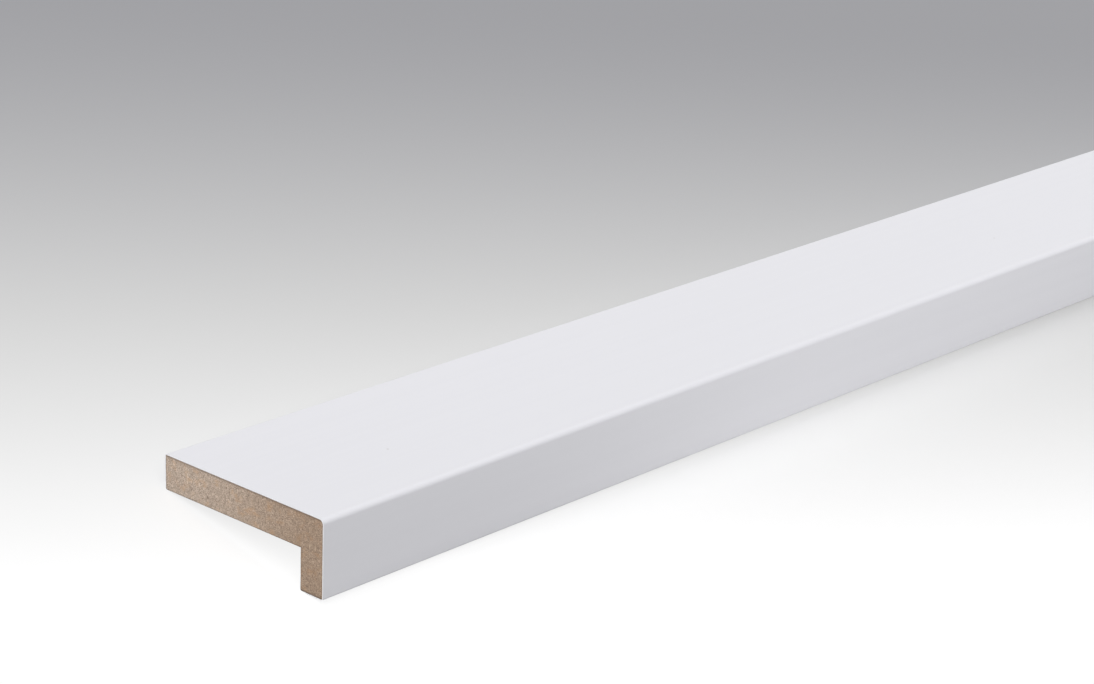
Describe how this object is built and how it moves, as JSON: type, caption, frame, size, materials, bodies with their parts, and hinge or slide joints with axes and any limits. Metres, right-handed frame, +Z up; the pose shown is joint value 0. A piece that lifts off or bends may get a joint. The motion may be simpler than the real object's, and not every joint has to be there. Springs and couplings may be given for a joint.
{
  "type": "angle cover strip",
  "caption": "L-shaped MDF cover strip with a white foil wrapped round its show faces, glued over an edge or joint so that the flange covers the top and the leg the front.",
  "frame": {"origin": "on the floor under the middle of the strip, as it lies on its two inner arrises", "axes": "+X along the strip, +Y from the leg's front face towards the flange's back edge, +Z up"},
  "size_m": [2.38, 0.0632, 0.0227],
  "materials": {
    "mdf": "raw, milled and sawn",
    "foil": "satin white"
  },
  "bodies": {
    "root": {"mdf_core": "mdf", "white_foil": "foil"}
  },
  "joints": []
}
